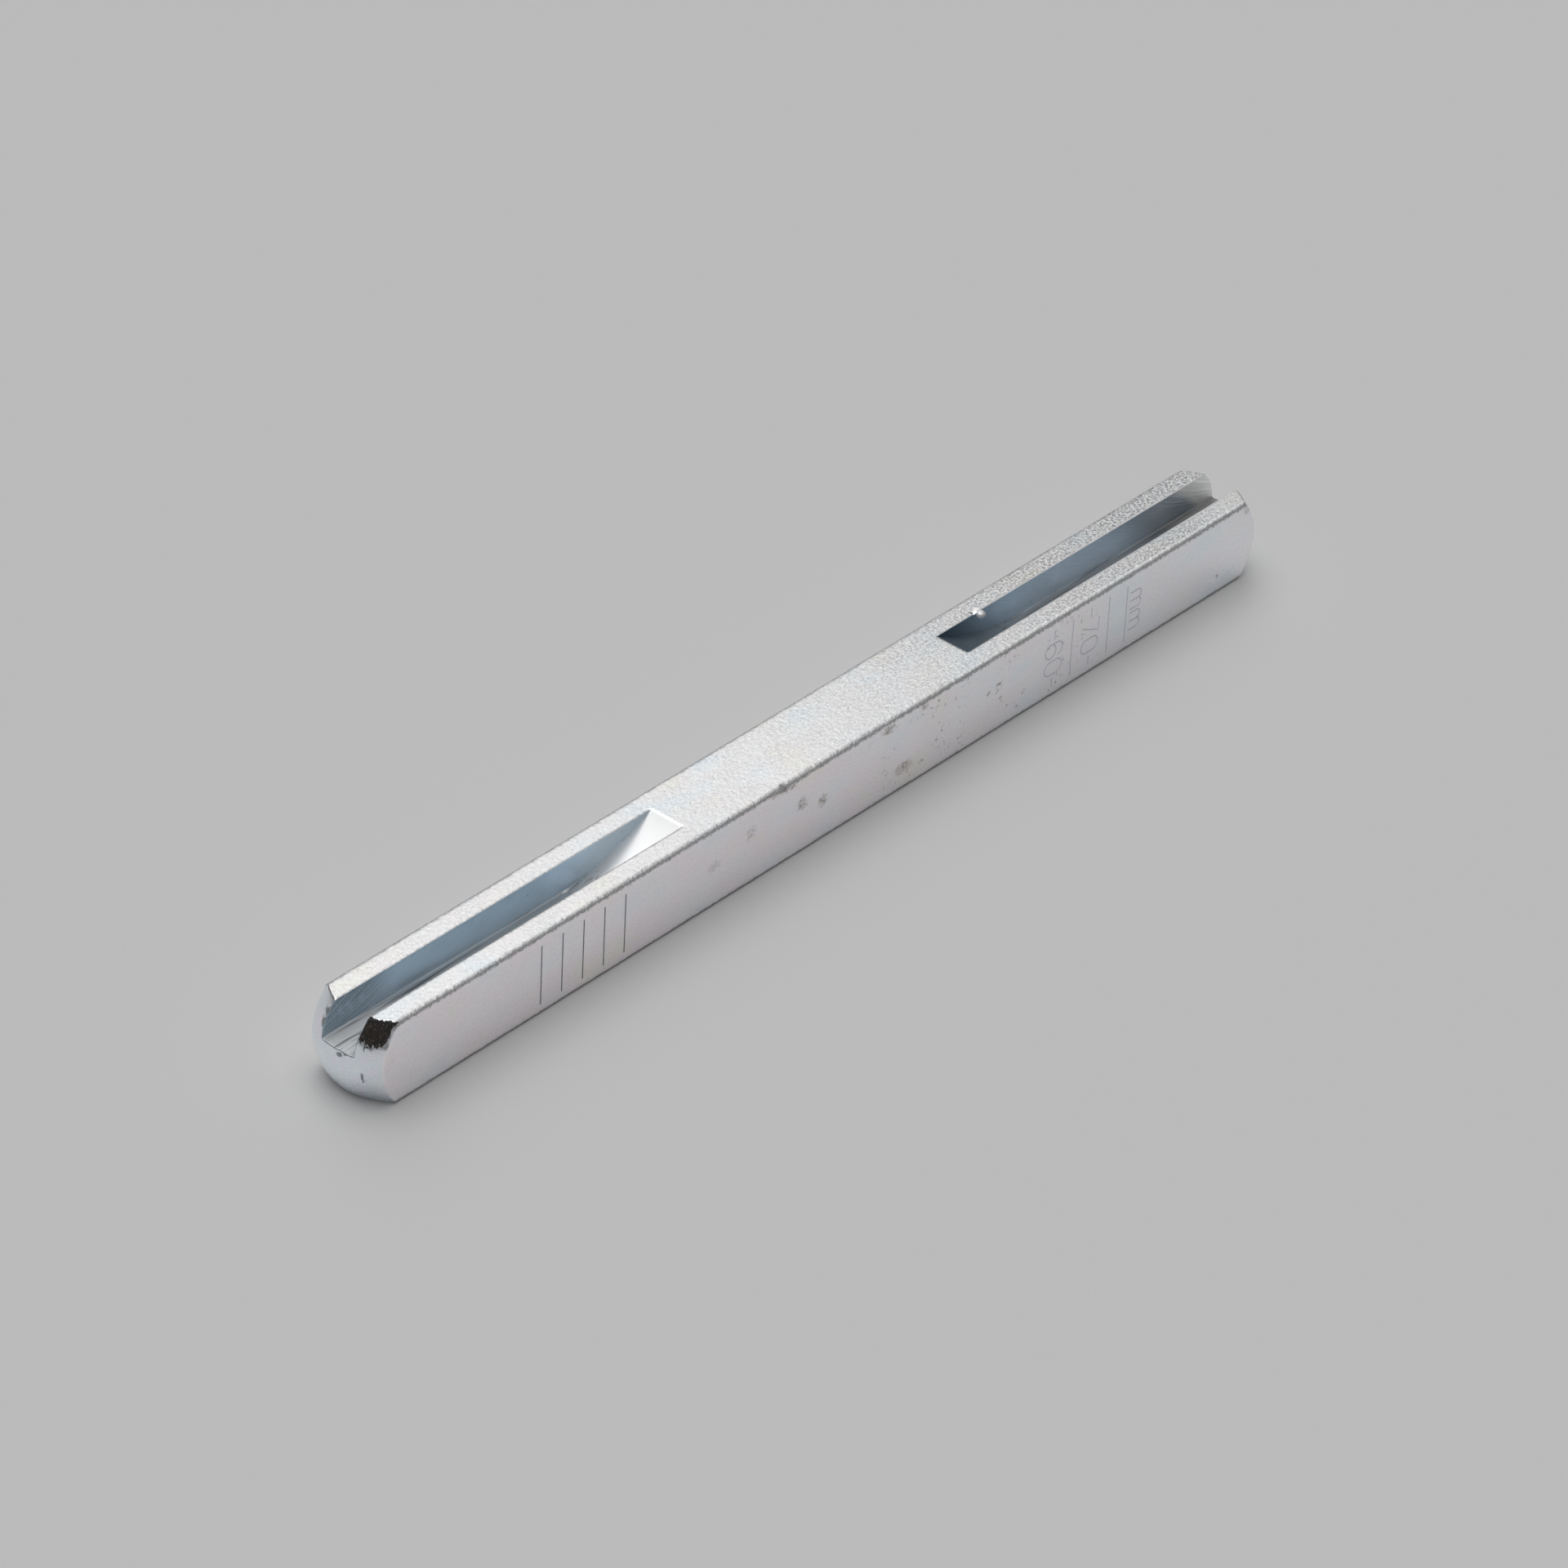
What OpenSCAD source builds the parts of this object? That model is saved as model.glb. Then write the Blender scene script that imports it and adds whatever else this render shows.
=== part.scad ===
// Lever-handle spindle: one square steel bar with a turned, coned tip and a milled slot at each end,
// and an adjustment scale engraved on its front face. Lengths are in millimetres.
// Origin: middle of the bar, on the face that it lies on. +X runs along the bar, towards the end
// with the numbered marks. -Y is the engraved face, and the slots are open at +Z.

/* [Bar] */
// Overall length, from tip to tip
bar_length = 114; // [94:1:140]
// Width across the flats of the square section
bar_width = 8; // [6.6:0.1:9.8]
// Radius of the four long edges
edge_radius = 0.4; // [0.2:0.05:0.8]
// Spherical radius of the slight crown on each tip
crown_radius = 12; // [8:0.5:40]
// Radius at which the 45-degree cone of each end would reach the plane of its tip
tip_radius = 2.75; // [2.2:0.05:3.4]

/* [Slots] */
// Length of each slot, from the tip to its inner end at the top face
slot_length = 38.8; // [30:0.2:46]
// Width of each slot, which is the cutter's thickness
slot_width = 3.5; // [2.6:0.1:4.2]
// Depth of the slot floor below the top face
slot_depth = 3.1; // [2.5:0.1:4]
// Radius of the milling cutter, which leaves the curved run-out at the inner end
cutter_radius = 25; // [18:0.5:31]

/* [Scale] */
// Distance from the middle of the bar to the innermost mark, the same on both sides
first_mark = 27.5; // [22:0.5:33]
// Distance between neighbouring marks
mark_pitch = 2.5; // [2.4:0.1:3]
// Number of marks on each side
mark_count = 5; // [5:1:6]
// Gap between each end of a mark and the edge of the face
mark_margin = 1.05; // [0.8:0.05:1.4]
// Width of every engraved stroke
stroke_width = 0.15; // [0.1:0.01:0.25]
// Depth of the engraving
stroke_depth = 0.1; // [0.05:0.01:0.2]

/* [Characters] */
// Height of a digit
digit_height = 2.3; // [1.8:0.1:2.6]
// Width of a digit
digit_width = 1.4; // [1.2:0.05:1.6]
// Gap between two characters
char_gap = 0.4; // [0.2:0.05:0.6]
// Height of the unit letters
unit_height = 1.5; // [1.2:0.1:1.8]
// Width of one unit letter
unit_width = 1.75; // [1.5:0.05:2]
// Gap between the outermost mark and the unit letters, and between a broken mark and its digits
unit_gap = 0.4; // [0.3:0.05:0.6]

/* [Hidden] */
$fn = 96;
// How far a cutting shape reaches past the surface that it cuts
over = 1;
// Turn of the envelope about the bar's axis, in degrees
seam_turn = 20;
half_length = bar_length / 2;
half_width = bar_width / 2;
// Length of the end cones, enough to reach past the corners of the square
cone_length = half_width;
slot_floor = bar_width - slot_depth;
// Length of the curved run-out, from where the floor stops being flat to the top face
run_out = sqrt(2 * cutter_radius * slot_depth - pow(slot_depth, 2));
slot_inner = half_length - slot_length;
mark_half = half_width - mark_margin;
last_mark = first_mark + (mark_count - 1) * mark_pitch;
number_width = 2 * digit_width + char_gap;
unit_start = last_mark + unit_gap + stroke_width / 2;

// Square section with its four corners rounded
module section() {
    flat = bar_width - 2 * edge_radius;
    square([flat, bar_width], center = true);
    square([bar_width, flat], center = true);
    for (a = [-1, 1], b = [-1, 1])
        translate([a, b] * (half_width - edge_radius)) circle(edge_radius);
}

// The bar, lying along X with its lowest face at z = 0
module square_bar() {
    translate([-half_length, 0, half_width]) rotate([90, 0, 90])
        linear_extrude(bar_length) section();
}

// A round bar along X, with its own radius and length
module round_bar(radius, length) {
    rotate([0, 90, 0]) cylinder(h = length, r = radius, center = true);
}

// What the lathe leaves: a round bar that ends in a 45-degree cone on each side
module coned_bar() {
    cone_radius = tip_radius + cone_length;
    round_bar(cone_radius, bar_length - 2 * cone_length);
    for (side = [-1, 1])
        translate([side * (half_length - cone_length), 0, 0]) rotate([0, side * 90, 0])
            cylinder(h = cone_length, r1 = cone_radius, r2 = tip_radius);
}

// The crown of each tip: a sphere at each end of a round bar that is wider than the square's diagonal
module crowned_bar() {
    straight = bar_length - 2 * crown_radius;
    round_bar(bar_width, straight);
    for (side = [-1, 1])
        translate([side * straight / 2, 0, 0]) rotate([0, 90, 0]) sphere(crown_radius);
}

// The turned envelope. It is turned about its own axis so that the seams of its round faces stay off
// the middle of the flats.
module turned_envelope() {
    translate([0, 0, half_width]) rotate([seam_turn, 0, 0])
        intersection() {
            coned_bar();
            crowned_bar();
        }
}

// One slot, open at the +X end and at the top, with the cutter's run-out at its inner end
module slot() {
    centre = slot_inner + run_out;
    rotate([90, 0, 0]) linear_extrude(slot_width, center = true) {
        translate([centre, slot_floor])
            square([half_length - centre + over, slot_depth + over]);
        translate([centre, slot_floor + cutter_radius]) circle(cutter_radius, $fn = 240);
    }
}

// Places a flat drawing on the front face, x reading down the face and y towards the +X end
module on_front_face(x) {
    translate([x, -half_width + stroke_depth, half_width])
        rotate([0, 90, 0]) rotate([90, 0, 0]) linear_extrude(stroke_depth + over) children();
}

// A straight stroke with round ends from point a to point b
module stroke(a, b) {
    run = b - a;
    translate(a) rotate(atan2(run[1], run[0]))
        translate([0, -stroke_width / 2]) square([norm(run), stroke_width]);
    for (end = [a, b]) translate(end) circle(d = stroke_width, $fn = 24);
}

// A closed loop drawn along its middle line: a circle, or an upright oval when it is higher than wide
module loop(width, height) {
    module oval(grow) {
        rise = (height - width) / 2;
        for (side = [-1, 1]) translate([0, side * rise]) circle(d = width + grow, $fn = 48);
        if (rise > 0) square([width + grow, 2 * rise], center = true);
    }
    difference() {
        oval(stroke_width);
        oval(-stroke_width);
    }
}

// The part of a loop that lies above the line y = level
module loop_above(width, height, level) {
    intersection() {
        loop(width, height);
        translate([-width, level]) square([2 * width, height]);
    }
}

module digit_zero() {
    loop(digit_width, digit_height);
}

module digit_six() {
    rise = (digit_height - digit_width) / 2;
    translate([0, -rise]) loop(digit_width, digit_width);
    stroke([-digit_width / 2, -rise], [-digit_width / 2, rise]);
    translate([0, rise]) loop_above(digit_width, digit_width, 0);
}

module digit_seven() {
    top = digit_height / 2;
    stroke([-digit_width / 2, top], [digit_width / 2, top]);
    stroke([digit_width / 2, top], [-digit_width / 4, -top]);
}

// A round-shouldered letter m that stands on y = 0
module letter_m() {
    arch = unit_width / 2;
    spring = unit_height - arch / 2;
    for (leg = [-1, 0, 1]) stroke([leg * arch, 0], [leg * arch, spring]);
    stroke([-arch, spring], [-arch, unit_height]);
    for (side = [-1, 1])
        translate([side * arch / 2, spring]) loop_above(arch, arch, 0);
}

// A mark right across the face
module full_mark(x) {
    on_front_face(x) stroke([-mark_half, 0], [mark_half, 0]);
}

// A mark that is broken in the middle by the two characters that are passed to it
module numbered_mark(x) {
    inner = number_width / 2 + unit_gap;
    step = (digit_width + char_gap) / 2;
    on_front_face(x) {
        for (side = [-1, 1]) stroke([side * inner, 0], [side * mark_half, 0]);
        translate([-step, 0]) children(0);
        translate([step, 0]) children(1);
    }
}

module scale_marks() {
    for (i = [0 : mark_count - 1])
        full_mark(-first_mark - i * mark_pitch);
    numbered_mark(first_mark) { digit_six(); digit_zero(); }
    full_mark(first_mark + mark_pitch);
    numbered_mark(first_mark + 2 * mark_pitch) { digit_seven(); digit_zero(); }
    for (i = [3 : mark_count - 1])
        full_mark(first_mark + i * mark_pitch);
    unit_step = (unit_width + char_gap) / 2;
    on_front_face(unit_start)
        for (side = [-1, 1]) translate([side * unit_step, 0]) letter_m();
}

module spindle() {
    color("lightsteelblue")
        difference() {
            intersection() {
                square_bar();
                turned_envelope();
            }
            slot();
            mirror([1, 0, 0]) slot();
            scale_marks();
        }
}

spindle();
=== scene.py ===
"""Looks of a lever-handle spindle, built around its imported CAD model.

The spindle is one square steel bar, 114 mm long and 8 mm across. Each end is turned to a crowned
cone and slotted from the top with a disc cutter, and the front face carries an engraved adjustment scale.
The whole bar is bright zinc plated, so most of its character lies in small things: the rounded and
slightly ragged long edges, the orange-peel of the flats, the cutter marks in the slots and the
stains and nicks of a part that was plated in a barrel.

Lengths in this script are millimetres until a mesh is made, and metres from there on.
"""

import logging
import math
from dataclasses import dataclass
from enum import Enum, IntEnum
from typing import Any, Callable, Iterable, Sequence

import bmesh
import bpy
import numpy as np
from mathutils import Matrix, Vector, geometry, noise


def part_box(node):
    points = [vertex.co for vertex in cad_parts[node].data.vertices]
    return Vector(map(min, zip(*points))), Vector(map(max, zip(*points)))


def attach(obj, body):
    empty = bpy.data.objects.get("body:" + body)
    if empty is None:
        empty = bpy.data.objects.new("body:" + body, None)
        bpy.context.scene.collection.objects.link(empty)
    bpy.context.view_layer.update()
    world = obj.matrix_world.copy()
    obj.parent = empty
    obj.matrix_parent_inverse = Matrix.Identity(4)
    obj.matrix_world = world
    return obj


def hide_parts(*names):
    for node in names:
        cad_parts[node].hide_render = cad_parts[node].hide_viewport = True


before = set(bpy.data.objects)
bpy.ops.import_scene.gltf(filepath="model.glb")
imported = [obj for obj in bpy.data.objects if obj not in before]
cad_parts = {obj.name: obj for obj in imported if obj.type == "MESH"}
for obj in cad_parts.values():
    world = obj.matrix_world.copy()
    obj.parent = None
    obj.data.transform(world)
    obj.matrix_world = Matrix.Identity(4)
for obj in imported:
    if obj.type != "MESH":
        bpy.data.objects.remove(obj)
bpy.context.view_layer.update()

MM = 0.001
NODE = "spindle"
BODY = "root"
SOLVER = "MANIFOLD"
SEED_STEP = 17.3
log = logging.getLogger("spindle")
Point = tuple[float, float]
Triple = tuple[float, float, float]
Colour = Triple


class Finish(IntEnum):
    """Material slots of the bar, in the order in which its mesh holds them."""

    PLATE = 0
    TURNED = 1
    MILLED = 2
    ENGRAVED = 3
    BURR = 4


class Glyph(Enum):
    """Characters that the scale uses."""

    SIX = "6"
    SEVEN = "7"
    ZERO = "0"
    UNIT = "m"


@dataclass(frozen=True)
class BarSizes:
    """Sizes of the bar, in millimetres. The CAD model sets its length and width.

    Attributes:
        shoulder: How softly a tip's crown rounds into its cone.
        blend: Length of the stretch before each tip where the cross-sections bend to its shape.
        lip: Bevel on the long edges of a slot.
        rim: Rounding where a tip meets the flats.
    """

    length: float
    width: float
    edge_radius: float = 0.4
    crown_radius: float = 12.0
    tip_radius: float = 2.75
    shoulder: float = 0.8
    blend: float = 6.0
    slot_length: float = 38.8
    slot_width: float = 3.5
    slot_depth: float = 3.1
    cutter_radius: float = 25.0
    lip: float = 0.1
    rim: float = 0.1

    @classmethod
    def from_frame(cls) -> "BarSizes":
        """Reads the overall sizes from the CAD node."""
        low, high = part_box(NODE)
        return cls(length=round((high.x - low.x) / MM, 2), width=round((high.y - low.y) / MM, 2))

    @property
    def half_length(self) -> float:
        """Half of the overall length."""
        return self.length / 2

    @property
    def half_width(self) -> float:
        """Half of the width across flats."""
        return self.width / 2

    @property
    def floor(self) -> float:
        """Height of the flat slot floor."""
        return self.width - self.slot_depth

    @property
    def run_out(self) -> float:
        """Length of the curved stretch at a slot's inner end."""
        return math.sqrt(2 * self.cutter_radius * self.slot_depth - self.slot_depth ** 2)

    @property
    def slot_inner(self) -> float:
        """Distance from the middle of the bar to the inner end of a slot."""
        return self.half_length - self.slot_length

    @property
    def straight(self) -> float:
        """Distance from the middle of the bar to where its cross-sections begin to bend."""
        return self.half_length - self.blend


@dataclass(frozen=True)
class ScaleSizes:
    """Sizes of the engraved scale, in millimetres."""

    first: float = 27.5
    pitch: float = 2.5
    count: int = 5
    margin: float = 1.05
    stroke: float = 0.15
    shallow: float = 0.035
    digit_height: float = 2.3
    digit_width: float = 1.4
    gap: float = 0.4
    unit_height: float = 1.5
    unit_width: float = 1.75


@dataclass(frozen=True)
class MeshPitch:
    """Spacing of the mesh lines, in millimetres."""

    along: float = 0.2
    front: float = 0.26
    top: float = 0.2
    slot: float = 0.28
    plain: float = 0.8
    tip: float = 0.17
    corner_steps: int = 6


def smooth_noise(points: np.ndarray, size: float, seed: float, across: float = 1.0) -> np.ndarray:
    """Samples smooth noise at many points.

    Args:
        points: Places, in millimetres.
        size: Size of one bump.
        seed: Number that makes one field differ from another.
        across: Factor on Y and Z. Below 1, the bumps are longer that way.

    Returns:
        One value from about 0 to 1 for each point.
    """
    places = points * (1, across, across) / size + SEED_STEP * seed * np.array((1, -1, 1))
    return np.array([0.5 + 0.5 * noise.noise(Vector(place)) for place in places])


class BarStock:
    """The bar as a mesh: one section with a slot in it, swept along X, with a turned tip on each end."""

    RIM_SHARES = (0.15, 0.45, 1.0)
    RIM_DROP = 0.7
    ROW_HEIGHT = 0.87
    NEAR = 1e-6
    WELD = 2e-7
    SLIVER = 1e-7

    def __init__(self, size: BarSizes, pitch: MeshPitch) -> None:
        """Keeps the sizes and the spacing of the mesh lines, and works out the section.

        Args:
            size: Sizes of the bar.
            pitch: Spacing of the mesh lines.
        """
        self.size = size
        self.pitch = pitch
        self.pen: Point = (size.edge_radius - size.half_width, 0)
        self.points: list[Point] = []
        self.in_slot: list[bool] = []
        self._draw_section()
        self.section = np.array(self.points)
        y, z = self.section.T
        self.lifted = (np.abs(y) < size.slot_width / 2 + self.NEAR) & (z > size.floor - self.NEAR)

    def _add(self, y: float, z: float, in_slot: bool) -> None:
        """Adds a point to the section."""
        self.points.append((y, z))
        self.in_slot.append(in_slot)

    def _line(self, end: Point, step: float, in_slot: bool = False) -> None:
        """Adds evenly spaced points from the pen up to, but not including, end, and takes the pen there.

        Args:
            end: Where the line ends.
            step: Greatest spacing, about.
            in_slot: Whether the line bounds the slot.
        """
        y, z = self.pen
        count = max(1, round(math.dist(self.pen, end) / step))
        for i in range(count):
            t = i / count
            self._add(y + t * (end[0] - y), z + t * (end[1] - z), in_slot)
        self.pen = end

    def _corner(self, centre: Point, start_angle: float) -> None:
        """Adds a quarter round of the edge radius, anticlockwise from start_angle in degrees.

        Args:
            centre: Its centre.
            start_angle: Where it starts.
        """
        radius, steps = self.size.edge_radius, self.pitch.corner_steps
        for i in range(steps):
            a = math.radians(start_angle + 90 * i / steps)
            self._add(centre[0] + radius * math.cos(a), centre[1] + radius * math.sin(a), False)
        a = math.radians(start_angle + 90)
        self.pen = (centre[0] + radius * round(math.cos(a)), centre[1] + radius * round(math.sin(a)))

    def _draw_section(self) -> None:
        """Draws the slotted section in Y and Z, anticlockwise, from the lower front corner."""
        s, p = self.size, self.pitch
        half, top, r = s.half_width, s.width, s.edge_radius
        wall, lip, floor = s.slot_width / 2, s.lip, s.floor
        self._line((half - r, 0), p.plain)
        self._corner((half - r, r), -90)
        self._line((half, top - r), p.plain)
        self._corner((half - r, top - r), 0)
        self._line((wall + lip, top), p.top)
        self._line((wall, top - lip / 2), p.plain)
        self._line((wall, floor + lip), p.slot, True)
        self._line((wall - lip, floor), p.plain, True)
        self._line((-wall + lip, floor), p.slot, True)
        self._line((-wall, floor + lip), p.plain, True)
        self._line((-wall, top - lip / 2), p.slot, True)
        self._line((-wall - lip, top), p.plain)
        self._line((-half + r, top), p.top)
        self._corner((-half + r, top - r), 90)
        self._line((-half, r), p.front)
        self._corner((-half + r, r), 180)

    def _slot_floor(self, x: np.ndarray) -> np.ndarray:
        """Height of the slot floor at each x: flat, then the cutter's curve, then the top face.

        Args:
            x: Places along the bar.

        Returns:
            The heights.
        """
        s = self.size
        centre = s.slot_inner + s.run_out
        reach = np.clip(centre - np.abs(x), 0, s.run_out)
        return s.floor + s.cutter_radius - np.sqrt(s.cutter_radius ** 2 - reach ** 2)

    def _tip_x(self, y: np.ndarray, z: np.ndarray) -> np.ndarray:
        """Distance of the turned tip from the middle of the bar: a crown that rounds into a cone.

        Args:
            y: Places across the bar.
            z: Heights.

        Returns:
            The distance at each of these.
        """
        s = self.size
        off_axis = np.hypot(y, z - s.half_width)
        crown = s.half_length - s.crown_radius + np.sqrt(s.crown_radius ** 2 - off_axis ** 2)
        cone = s.half_length - (off_axis - s.tip_radius)
        share = np.clip(0.5 + 0.5 * (cone - crown) / s.shoulder, 0, 1)
        return cone * (1 - share) + crown * share - s.shoulder * share * (1 - share)

    def _inward(self, ring: np.ndarray) -> np.ndarray:
        """Unit vectors that point into the section at each of its points.

        Args:
            ring: The section's points.

        Returns:
            One vector for each of them.
        """
        edge = np.roll(ring, -1, 0) - ring
        edge /= np.linalg.norm(edge, axis=1)[:, None]
        left = np.stack([-edge[:, 1], edge[:, 0]], 1)
        mean = left + np.roll(left, 1, 0)
        return mean / np.linalg.norm(mean, axis=1)[:, None]

    def _stations(self) -> np.ndarray:
        """Places of the cross-sections along X, with one exactly at every change of the slot.

        Returns:
            The places, from one tip to the other.
        """
        s = self.size
        marks = [0, s.slot_inner, s.slot_inner + s.run_out, s.straight, s.half_length]
        steps = []
        for a, b in zip(marks, marks[1:]):
            count = max(1, round((b - a) / self.pitch.along))
            steps += [a + (b - a) * i / count for i in range(count)]
        right = np.array([*steps, s.half_length])
        return np.concatenate([-right[:0:-1], right])

    def _rings(self) -> np.ndarray:
        """Places every ring of points along the bar, rim rings included.

        Returns:
            An array of rings by section points by three.
        """
        s = self.size
        y, z = self.section.T
        side_end = self._tip_x(y, z) - s.rim
        rings = []
        for station in self._stations():
            beyond = max(0.0, abs(station) - s.straight) / s.blend
            x = math.copysign(1, station) * (min(abs(station), s.straight) + beyond * (side_end - s.straight))
            height = np.where(self.lifted, np.maximum(z, self._slot_floor(x)), z)
            rings.append(np.stack([x, y, height], 1))
        inward = self._inward(self.section)
        for share in self.RIM_SHARES:
            ring = self.section + inward * s.rim * share
            x = self._tip_x(*ring.T) - s.rim * (1 - share) ** 2 * self.RIM_DROP
            rings.append(np.column_stack([x, ring]))
            rings.insert(0, np.column_stack([-x, ring]))
        return np.array(rings)

    def _cap(self, ring: np.ndarray, side: int) -> tuple[np.ndarray, list[list[int]]]:
        """Fills one turned tip inside its last ring.

        Args:
            ring: The ring's points.
            side: 1 for the +X end, -1 for the other.

        Returns:
            The tip's points, ring first, and its triangles.
        """
        outline = ring[:, 1:]
        low, high = outline.min(0), outline.max(0)
        step = self.pitch.tip
        ys = np.arange(low[0] + step, high[0], step)
        zs = np.arange(low[1] + step, high[1], step * self.ROW_HEIGHT)
        inner = [(y + k % 2 * step / 2, z) for k, z in enumerate(zs) for y in ys]
        keep = [p for p in inner if self._inside(outline, p, step / 2)]
        points = [Vector(p) for p in outline.tolist() + keep]
        count = len(outline)
        edges = [(i, (i + 1) % count) for i in range(count)]
        made, _, faces, *_ = geometry.delaunay_2d_cdt(points, edges, [], 1, self.SLIVER)
        yz = np.array([tuple(v) for v in made])
        x = side * self._tip_x(yz[:, 0], yz[:, 1])
        return np.column_stack([x, yz]), [list(f) for f in faces]

    def _inside(self, outline: np.ndarray, point: Point, gap: float) -> bool:
        """Whether a point lies inside the outline and at least gap away from it.

        Args:
            outline: Points of the outline.
            point: The point.
            gap: The least distance.

        Returns:
            True if it does.
        """
        nxt = np.roll(outline, -1, 0)
        run = nxt - outline
        rel = np.array(point) - outline
        t = np.clip((rel * run).sum(1) / (run ** 2).sum(1), 0, 1)
        near = np.linalg.norm(rel - run * t[:, None], axis=1).min()
        above = (outline[:, 1] > point[1]) != (nxt[:, 1] > point[1])
        height = np.where(run[:, 1] == 0, 1, run[:, 1])
        cross = outline[:, 0] + (point[1] - outline[:, 1]) / height * run[:, 0]
        return bool(near > gap and (above & (point[0] < cross)).sum() % 2)

    def build(self, name: str) -> bpy.types.Object:
        """Makes the mesh object.

        Args:
            name: Name of the new object.

        Returns:
            The object, in metres, with a material index for each of its faces.
        """
        rings = self._rings()
        count, around, _ = rings.shape
        points = [rings.reshape(-1, 3)]
        faces: list[list[int]] = []
        finishes: list[int] = []
        for i in range(count - 1):
            slotted = abs(rings[i, 0, 0] + rings[i + 1, 0, 0]) / 2 > self.size.slot_inner
            for k in range(around):
                n = (k + 1) % around
                faces.append([i * around + k, i * around + n, (i + 1) * around + n, (i + 1) * around + k])
                finishes.append(Finish.MILLED if slotted and self.in_slot[k] else Finish.PLATE)
        start = count * around
        for ring, side in ((rings[0], -1), (rings[-1], 1)):
            cap, triangles = self._cap(ring, side)
            points.append(cap)
            faces += [[start + i for i in t] for t in triangles]
            finishes += [Finish.TURNED] * len(triangles)
            start += len(cap)
        mesh = bpy.data.meshes.new(name)
        mesh.from_pydata((np.concatenate(points) * MM).tolist(), [], faces)
        mesh.polygons.foreach_set("material_index", finishes)
        self._clean(mesh)
        obj = bpy.data.objects.new(name, mesh)
        bpy.context.scene.collection.objects.link(obj)
        return obj

    def _clean(self, mesh: bpy.types.Mesh) -> None:
        """Merges doubled points, drops collapsed faces and turns every face outwards.

        Args:
            mesh: The bar's mesh.
        """
        bm = bmesh.new()
        bm.from_mesh(mesh)
        bmesh.ops.remove_doubles(bm, verts=bm.verts, dist=self.WELD)
        bmesh.ops.dissolve_degenerate(bm, edges=bm.edges, dist=self.SLIVER)
        bmesh.ops.recalc_face_normals(bm, faces=bm.faces)
        bm.to_mesh(mesh)
        bm.free()


@dataclass(frozen=True)
class Nick:
    """A small dent: vertices near its place are moved.

    Attributes:
        place: Its middle, in millimetres.
        radius: How far it reaches.
        move: How far its middle is moved.
    """

    place: Triple
    radius: float
    move: Triple


class Wear:
    """Unevenness of a plated bar, as moves of the mesh's own points. All of it goes inwards.

    Depths, in millimetres, come first: of the orange-peel, of the fine and the slow waviness of the
    long edges, and the least and the added depth of the rough spot.
    """

    PEEL = 0.007
    RAGGED = 0.06
    SLOW = 0.03
    SPOT = (0.02, 0.16)
    EDGE_REACH = 0.55
    EDGE_FADE = 0.3
    NICK_FALL = 1.5

    NICKS = (
        Nick((-56.5, -2.5, 3.3), 0.34, (0.2, 0, 0)),
        Nick((-56.5, -2.45, 2.8), 0.34, (0.2, 0, 0)),
        Nick((-56.9, -0.35, 4.75), 0.4, (0.2, 0, -0.12)),
        Nick((-56.2, 2.0, 6.6), 0.4, (0.2, 0.06, 0)),
        Nick((-55.9, 2.0, 7.2), 0.4, (0.18, 0.06, 0)),
        Nick((23.3, 1.85, 8.0), 0.3, (0, 0.12, -0.25)),
        Nick((50.6, -4.0, 1.9), 0.25, (0, 0.1, 0)),
        Nick((-7.8, -3.9, 7.9), 0.6, (0, 0.12, -0.12)),
    )

    def __init__(self, size: BarSizes) -> None:
        """Keeps the sizes of the bar."""
        self.size = size

    def apply(self, obj: bpy.types.Object) -> None:
        """Moves the points of the bar's mesh.

        Args:
            obj: The bar, in metres.
        """
        mesh = obj.data
        points = np.empty(len(mesh.vertices) * 3)
        normals = np.empty_like(points)
        mesh.vertices.foreach_get("co", points)
        mesh.vertices.foreach_get("normal", normals)
        points = points.reshape(-1, 3) / MM
        points = points - normals.reshape(-1, 3) * self._depth(points)[:, None]
        for nick in self.NICKS:
            away = np.linalg.norm(points - np.array(nick.place), axis=1)
            share = np.clip(1 - away / nick.radius, 0, 1) ** self.NICK_FALL
            points = points + share[:, None] * np.array(nick.move)
        half_length, half, top = self.size.half_length, self.size.half_width, self.size.width
        points = np.clip(points, [-half_length, -half, 0], [half_length, half, top])
        mesh.vertices.foreach_set("co", (points * MM).ravel())
        mesh.update()

    def _depth(self, points: np.ndarray) -> np.ndarray:
        """How far each point goes inwards: orange-peel everywhere, ragged edges and a rough spot.

        Args:
            points: Places of the points.

        Returns:
            The depths.
        """
        x, y, z = points.T
        half = self.size.half_width
        beyond = np.minimum(np.abs(y), np.abs(z - half))
        edge = np.clip((beyond - (half - self.EDGE_REACH)) / self.EDGE_FADE, 0, 1)
        ragged, slow = smooth_noise(points, 0.42, 2, 0.5), smooth_noise(points, 2.6, 3, 0.3)
        wavy = edge * (self.RAGGED * ragged + self.SLOW * slow)
        least, added = self.SPOT
        rough = DarkSpot.share(self.size, x, y, z) * (least + added * smooth_noise(points, 0.3, 4))
        return self.PEEL * smooth_noise(points, 1.1, 1) + wavy + rough


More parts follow.
